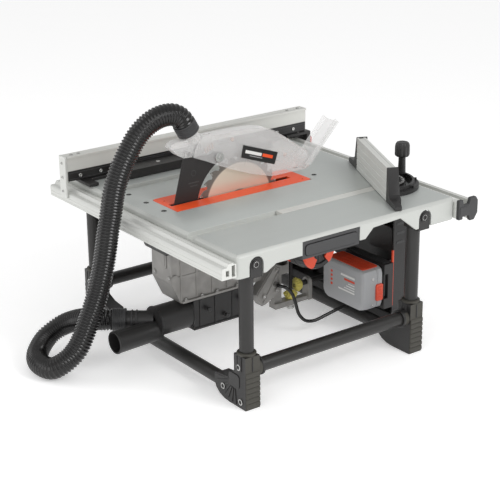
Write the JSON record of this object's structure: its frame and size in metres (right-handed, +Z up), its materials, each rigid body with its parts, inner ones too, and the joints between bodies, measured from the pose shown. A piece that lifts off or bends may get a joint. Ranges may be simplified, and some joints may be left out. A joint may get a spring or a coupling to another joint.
{
  "type": "table saw",
  "caption": "Low bench-height table saw on a tube stand, with tilting and lifting blade, clear guard with dust hose, rip fence, mitre gauge and a battery pack.",
  "frame": {"origin": "on the floor under the middle of the saw's bounding box, hose and cable left out", "axes": "+Z up, +X to the operator's right across the blade, +Y from the operator towards the rear rail"},
  "size_m": [0.682, 0.9031, 0.5635],
  "materials": {
    "cast_aluminium": "fine milled satin",
    "extruded_aluminium": "satin extruded",
    "grey_cast_metal": "rough cast",
    "black_plastic": "fine grain",
    "black_painted_steel": "powder coat",
    "foot_rubber": "ribbed matte",
    "orange_plastic": "fine grain",
    "clear_plastic": "clear, glossy",
    "blade_steel": "ground, carbide tipped",
    "bright_steel": "turned",
    "yellow_gear_plastic": "moulded",
    "grey_plastic": "fine grain",
    "green_plastic": "smooth",
    "red_plastic": "smooth",
    "hose_rubber": "ribbed matte"
  },
  "bodies": {
    "stand": {"table_top": "cast_aluminium", "throat_insert": "orange_plastic", "rear_rail": "extruded_aluminium", "front_rail": "extruded_aluminium", "rail_cap_left": "black_plastic", "rail_cap_right": "black_plastic", "leg_rear_left": "black_painted_steel", "leg_rear_right": "black_painted_steel", "leg_front_left": "black_painted_steel", "leg_front_right": "black_painted_steel", "foot_rear_left": "foot_rubber", "foot_rear_right": "foot_rubber", "foot_front_left": "foot_rubber", "foot_front_right": "foot_rubber", "side_tube_left": "black_painted_steel", "side_tube_right": "black_painted_steel", "cross_tube_rear": "black_painted_steel", "cross_tube_front": "black_painted_steel", "side_grip": "black_plastic", "trunnion_front": "black_painted_steel", "trunnion_rear": "black_painted_steel", "storage_box": "black_plastic", "front_panel": "black_plastic", "battery_dock": "black_plastic"},
    "tilt_frame": {"blade_housing": "grey_cast_metal", "dust_shroud": "black_plastic", "dust_port": "black_plastic", "hose_cuff_port": "black_plastic", "dust_hose": "hose_rubber", "motor_cable": "hose_rubber"},
    "screw": {"lift_screw": "black_painted_steel", "screw_gear": "yellow_gear_plastic"},
    "crank": {"crank_shaft": "black_painted_steel", "crank_gear": "yellow_gear_plastic", "handwheel": "black_plastic"},
    "crank_grip": {"handwheel_grip": "black_plastic"},
    "bevel_lever": {"bevel_lock_lever": "red_plastic"},
    "carriage": {"arbor_carriage": "grey_cast_metal", "motor": "black_plastic", "riving_knife": "black_painted_steel", "guard_spout": "clear_plastic", "hose_cuff_guard": "black_plastic"},
    "blade": {"saw_blade": "blade_steel", "arbor_nut": "bright_steel"},
    "guard_link": {"guard_pivot": "black_painted_steel"},
    "guard": {"guard_hood": "clear_plastic"},
    "fence": {"rip_fence": "extruded_aluminium", "fence_end_plate": "extruded_aluminium", "fence_glide": "black_plastic", "fence_clamp": "black_plastic"},
    "aux": {"aux_fence": "black_plastic"},
    "fence_latch": {"fence_lever": "red_plastic"},
    "gauge_bar": {"mitre_bar": "extruded_aluminium"},
    "gauge_head": {"mitre_head": "black_plastic", "mitre_face": "extruded_aluminium"},
    "gauge_knob": {"mitre_knob": "black_plastic"},
    "battery": {"battery_pack": "grey_plastic"},
    "battery_latch": {"battery_button": "orange_plastic"},
    "green_button": {"switch_on": "green_plastic"},
    "red_button": {"switch_off": "red_plastic"}
  },
  "joints": [
    {"name": "bevel_tilt", "type": "hinge", "parent": "stand", "child": "tilt_frame", "pos_m": [0, 0.04033, 0.345], "axis": [0, -1, 0], "range_deg": [0, 45], "deforming": ["motor_cable"]},
    {"name": "blade_lift", "type": "slide", "parent": "tilt_frame", "child": "carriage", "axis": [0, 0, 1], "range_m": [-0.065, 0], "deforming": ["dust_hose"]},
    {"name": "screw_turn", "type": "hinge", "parent": "tilt_frame", "child": "screw", "pos_m": [-0.028, -0.08167, 0.145], "axis": [0, 0, 1], "range_deg": [-5, 2350]},
    {"name": "crank_turn", "type": "hinge", "parent": "tilt_frame", "child": "crank", "pos_m": [-0.028, -0.25967, 0.096], "axis": [0, 1, 0], "range_deg": [-2350, 5]},
    {"name": "grip_spin", "type": "hinge", "parent": "crank", "child": "crank_grip", "pos_m": [-0.028, -0.35967, 0.152], "axis": [0, 1, 0], "continuous": true},
    {"name": "bevel_lock", "type": "hinge", "parent": "tilt_frame", "child": "bevel_lever", "pos_m": [-0.028, -0.29467, 0.096], "axis": [0, 1, 0], "range_deg": [0, 35]},
    {"name": "blade_spin", "type": "hinge", "parent": "carriage", "child": "blade", "pos_m": [0, 0.04033, 0.321], "axis": [1, 0, 0], "continuous": true},
    {"name": "guard_rise", "type": "hinge", "parent": "carriage", "child": "guard_link", "pos_m": [0, 0.09933, 0.432], "axis": [-1, 0, 0], "range_deg": [0, 21.5]},
    {"name": "guard_swing", "type": "hinge", "parent": "guard_link", "child": "guard", "pos_m": [0, 0.09933, 0.432], "axis": [-1, 0, 0], "range_deg": [0, 60]},
    {"name": "fence_slide", "type": "slide", "parent": "stand", "child": "fence", "axis": [1, 0, 0], "range_m": [-0.17, 0.035]},
    {"name": "aux_fence_flip", "type": "hinge", "parent": "fence", "child": "aux", "pos_m": [0.2465, 0.04033, 0.364], "axis": [0, 1, 0], "range_deg": [0, 90]},
    {"name": "fence_lever_swing", "type": "hinge", "parent": "fence", "child": "fence_latch", "pos_m": [0.27, -0.36567, 0.331], "axis": [-1, 0, 0], "range_deg": [0, 60]},
    {"name": "gauge_slide", "type": "slide", "parent": "stand", "child": "gauge_bar", "axis": [0, -1, 0], "range_m": [-0.2, 0.06]},
    {"name": "gauge_turn", "type": "hinge", "parent": "gauge_bar", "child": "gauge_head", "pos_m": [-0.174, -0.21967, 0.35], "axis": [0, 0, 1], "range_deg": [-34.8, 85.2]},
    {"name": "gauge_knob_turn", "type": "hinge", "parent": "gauge_bar", "child": "gauge_knob", "pos_m": [-0.174, -0.27767, 0.385], "axis": [0, 0, 1], "range_deg": [0, 180]},
    {"name": "battery_slide", "type": "slide", "parent": "stand", "child": "battery", "axis": [-1, 0, 0], "range_m": [0, 0.07]},
    {"name": "battery_button_press", "type": "slide", "parent": "battery", "child": "battery_latch", "axis": [1, 0, 0], "range_m": [0, 0.003], "stiffness_N_per_m": 400, "springref_m": -0.002},
    {"name": "switch_on_press", "type": "slide", "parent": "stand", "child": "green_button", "axis": [0, 1, 0], "range_m": [0, 0.004], "stiffness_N_per_m": 400, "springref_m": -0.002},
    {"name": "switch_off_press", "type": "slide", "parent": "stand", "child": "red_button", "axis": [0, 1, 0], "range_m": [0, 0.004], "stiffness_N_per_m": 400, "springref_m": -0.002}
  ],
  "couplings": [
    {"joint": "screw_turn", "follows": "blade_lift", "rad_per_m": -628.3},
    {"joint": "crank_turn", "follows": "blade_lift", "rad_per_m": 628.3},
    {"joint": "guard_rise", "follows": "blade_lift", "rad_per_m": -5.65}
  ]
}
